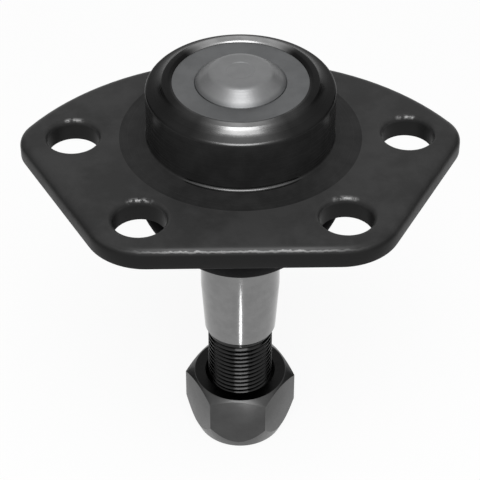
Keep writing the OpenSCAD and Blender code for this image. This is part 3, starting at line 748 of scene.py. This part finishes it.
def studFinish():
    look = studLook
    material, tree, shader, place = newMaterial("studSteel")
    at = place.outputs["Object"]
    skin = useSkin(tree, at, look)
    lines = useGroup(tree, turning, {"Vector": at, "Line Scale": look["lines"]})
    spot = useGroup(tree, around, {"Vector": at})
    shank = twoGreys(tree, skin.outputs["Blotches"], look["shank"])
    specks = between(tree, skin.outputs["Grain"], *look["speckEdge"])
    shank = mixColour(tree, specks, shank, grey(look["speck"]))
    # Dark coated thread, its roots a darker grey as painted shade
    darkThreadShadedRoots = twoGreys(tree, band(tree, spot.outputs["Radius"], look["crestBand"]), look["thread"])
    threaded = band(tree, spot.outputs["Height"], look["threadBand"])
    tree.links.new(mixColour(tree, threaded, shank, darkThreadShadedRoots), shader.inputs["Base Color"])
    shader.inputs["Metallic"].default_value = 1
    roughen(tree, shader, lines.outputs["Lines"], look["roughness"])
    addBump(tree, shader, skin.outputs["Grain"], 0.004, 0.3)
    return material


nutLook = {
    "grain": 3000.0, "blotches": 160.0, "faces": (0.078, 0.066), "dark": 0.010, "roughness": (0.28, 0.38),
    "shadedTopBand": (-80.0, -79.0), "shadedTopRadius": (13.0, 12.8), "shadedBoreBand": (12.0, 11.6),
}


def nutFinish():
    look = nutLook
    material, tree, shader, place = newMaterial("darkNutSteel")
    at = place.outputs["Object"]
    skin = useSkin(tree, at, look)
    spot = useGroup(tree, around, {"Vector": at})
    # Painted shade: the nut's top face and its bore get the dark grey
    top = math(tree, "MULTIPLY", band(tree, spot.outputs["Height"], look["shadedTopBand"]),
               band(tree, spot.outputs["Radius"], look["shadedTopRadius"]))
    inside = band(tree, spot.outputs["Radius"], look["shadedBoreBand"])
    faces = twoGreys(tree, skin.outputs["Blotches"], look["faces"])
    tree.links.new(mixColour(tree, math(tree, "MAXIMUM", top, inside), faces, grey(look["dark"])),
                   shader.inputs["Base Color"])
    shader.inputs["Metallic"].default_value = 1
    roughen(tree, shader, skin.outputs["Grain"], look["roughness"])
    addBump(tree, shader, skin.outputs["Grain"], 0.01, 0.3)
    return material


def softFinish(name, colour, rough, spread=0.75, gloss=0.5):
    material, tree, shader, place = newMaterial(name)
    skin = useSkin(tree, place.outputs["Object"], {"grain": 1800.0, "blotches": 200.0})
    faded = tuple(channel * spread for channel in colour[:3]) + (1,)
    tree.links.new(mixColour(tree, skin.outputs["Blotches"], colour, faded), shader.inputs["Base Color"])
    roughen(tree, shader, skin.outputs["Grain"], (rough - 0.06, rough + 0.06))
    shader.inputs["Specular IOR Level"].default_value = gloss
    addBump(tree, shader, skin.outputs["Grain"], 0.03, 0.5)
    return material


def dress(piece, material):
    piece.data.materials.clear()
    piece.data.materials.append(material)


plainSteel = steelFinish("plainSteel", 0.35)
springWire = steelFinish("springWire", 0.28, lineScale=1500.0)
rubber = softFinish("bootRubber", (0.010, 0.010, 0.0105, 1), 0.8, gloss=0.03)
sealRubber = softFinish("sealRubber", (0.012, 0.012, 0.012, 1), 0.45)
bearingPlastic = softFinish("bearingPlastic", (0.72, 0.70, 0.62, 1), 0.4, spread=0.92)
bearingBronze = steelFinish("bearingBronze", 0.5, (0.3, 0.4))
nylon = softFinish("nylonInsert", (0.03, 0.06, 0.22, 1), 0.4)

for piece, material in ((plate, plateFinish()), (socketHousing, housingFinish()),
                        (pressed, coverFinish()), (studBody, studFinish()), (lockNut, nutFinish()),
                        (bootUpper, rubber), (bootLower, rubber), (nodes["cover_seal"], sealRubber),
                        (nodes["preload_spring"], springWire), (nodes["boot_garter_ring"], springWire),
                        (nodes["pressure_plate"], plainSteel), (nodes["boot_clamp_ring"], plainSteel),
                        (nodes["upper_bearing"], bearingPlastic), (nodes["lower_bearing"], bearingPlastic),
                        (nodes["half_ball_bearing"], bearingBronze), (nodes["nut_insert"], nylon)):
    dress(piece, material)
print("materials made")


# Studio: pale floor, white surroundings, soft lamps and the camera
studio = {
    "floorDrop": 0.4, "floorSize": 4.0, "floorGrey": 0.6, "floorRoughness": 0.9, "floorGlow": 1.12,
    "floorShare": 0.82, "ambient": 0.22,
    "lens": 139.24, "sensor": 36, "distance": 500, "elevation": 40.19, "yaw": 1.15, "roll": 0.1,
    "target": (-0.09, 0, -29.6),
    "keyDistance": 0.8, "keyElevation": 59, "keyWidth": 0.48, "keyHeight": 0.6, "keyWatts": 4.4,
    "stripForward": 58.5, "stripWidth": 3.8, "stripLength": 35, "stripWatts": 0.0047,
    "cardBearings": (("cardLeft", 175), ("cardRight", 5)), "cardWidth": 0.8, "cardHeight": 0.27,
    "cardDistance": 0.4, "cardGrey": 0.01,
}


def surroundings(tree, shaderIn, white, plain):  # white to the eye and in reflections, plain light otherwise
    path = tree.nodes.new("ShaderNodeLightPath")
    seen = math(tree, "MAXIMUM", path.outputs["Is Camera Ray"], path.outputs["Is Glossy Ray"])
    seen = math(tree, "MAXIMUM", seen, path.outputs["Is Transmission Ray"])
    mix = addNode(tree, "ShaderNodeMixShader", {0: seen})
    tree.links.new(plain, mix.inputs[1])
    tree.links.new(white, mix.inputs[2])
    tree.links.new(mix.outputs[0], shaderIn)


def makeFloor():
    startClean()
    bpy.ops.mesh.primitive_plane_add(size=studio["floorSize"],
                                     location=(0, 0, cadLow.z - studio["floorDrop"] * mm))
    floor = bpy.context.object
    floor.name = "studio_floor"
    material = bpy.data.materials.new("paleFloor")
    material.use_nodes = True
    tree = material.node_tree
    plain = tree.nodes["Principled BSDF"]
    plain.inputs["Base Color"].default_value = grey(studio["floorGrey"])
    plain.inputs["Roughness"].default_value = studio["floorRoughness"]
    glow = addNode(tree, "ShaderNodeEmission", {"Color": (1, 1, 1, 1), "Strength": studio["floorGlow"]})
    pale = addNode(tree, "ShaderNodeMixShader", {0: studio["floorShare"]})
    tree.links.new(plain.outputs[0], pale.inputs[1])
    tree.links.new(glow.outputs[0], pale.inputs[2])
    surroundings(tree, tree.nodes["Material Output"].inputs["Surface"], pale.outputs[0], plain.outputs[0])
    floor.data.materials.append(material)


def makeWorld():
    world = bpy.data.worlds.new("studioWorld")
    bpy.context.scene.world = world
    world.use_nodes = True
    tree = world.node_tree
    plain = tree.nodes["Background"]
    plain.inputs["Color"].default_value = (1, 1, 1, 1)
    plain.inputs["Strength"].default_value = studio["ambient"]
    white = addNode(tree, "ShaderNodeBackground", {"Color": (1, 1, 1, 1), "Strength": 1.0})
    surroundings(tree, tree.nodes["World Output"].inputs["Surface"], white.outputs[0], plain.outputs[0])


def addLamp(name, place, aim, width, height, watts):
    light = bpy.data.lights.new(name, "AREA")
    light.shape = "RECTANGLE"
    light.size, light.size_y = width, height
    light.energy = watts
    lamp = bpy.data.objects.new(name, light)
    bpy.context.scene.collection.objects.link(lamp)
    lamp.location = place
    lamp.rotation_euler = (Vector(aim) - Vector(place)).to_track_quat("-Z", "Y").to_euler()
    lamp.visible_camera = False
    return lamp


def makeCamera():
    s = studio
    target = Vector(s["target"]) * mm
    up, turn = radians(s["elevation"]), radians(s["yaw"])
    back = Vector((-sin(turn) * cos(up), -cos(turn) * cos(up), sin(up)))
    lens = bpy.data.cameras.new("photoCamera")
    lens.lens, lens.sensor_width = s["lens"], s["sensor"]
    lens.clip_start, lens.clip_end = 0.01, 20
    camera = bpy.data.objects.new("photoCamera", lens)
    bpy.context.scene.collection.objects.link(camera)
    camera.location = target + back * s["distance"] * mm
    roll = Quaternion((0, 0, 1), radians(s["roll"]))
    camera.rotation_euler = ((-back).to_track_quat("-Z", "Y") @ roll).to_euler()
    bpy.context.scene.camera = camera


def makeCard(name, bearingAngle):  # dark card that shades the flanks
    startClean()
    s = studio
    turn = radians(bearingAngle)
    place = (s["cardDistance"] * cos(turn), s["cardDistance"] * sin(turn), s["cardHeight"] / 2 + cadLow.z)
    bpy.ops.mesh.primitive_plane_add(size=1, location=place, rotation=(pi / 2, 0, turn + pi / 2))
    card = bpy.context.object
    card.name = name
    card.scale = (s["cardWidth"], s["cardHeight"], 1)
    card.visible_camera = False
    card.visible_diffuse = False
    card.visible_shadow = False
    material = bpy.data.materials.new(name)
    material.use_nodes = True
    plain = material.node_tree.nodes["Principled BSDF"]
    plain.inputs["Base Color"].default_value = grey(s["cardGrey"])
    plain.inputs["Roughness"].default_value = 1
    card.data.materials.append(material)


makeFloor()
makeWorld()
rise = radians(studio["keyElevation"])
keyPlace = (0, -studio["keyDistance"] * cos(rise), studio["keyDistance"] * sin(rise))
addLamp("keyLamp", keyPlace, (0, 0, 0), studio["keyWidth"], studio["keyHeight"], studio["keyWatts"])
stripPlace = (0, -studio["stripForward"] * mm, cadLow.z)
stripAim = (0, -(studio["stripForward"] + 0.1) * mm, 0)
addLamp("stripLamp", stripPlace, stripAim, studio["stripWidth"] * mm, studio["stripLength"] * mm,
        studio["stripWatts"])
for name, bearingAngle in studio["cardBearings"]:
    makeCard(name, bearingAngle)
makeCamera()
bpy.context.scene.view_settings.view_transform = "Standard"
print("studio set")
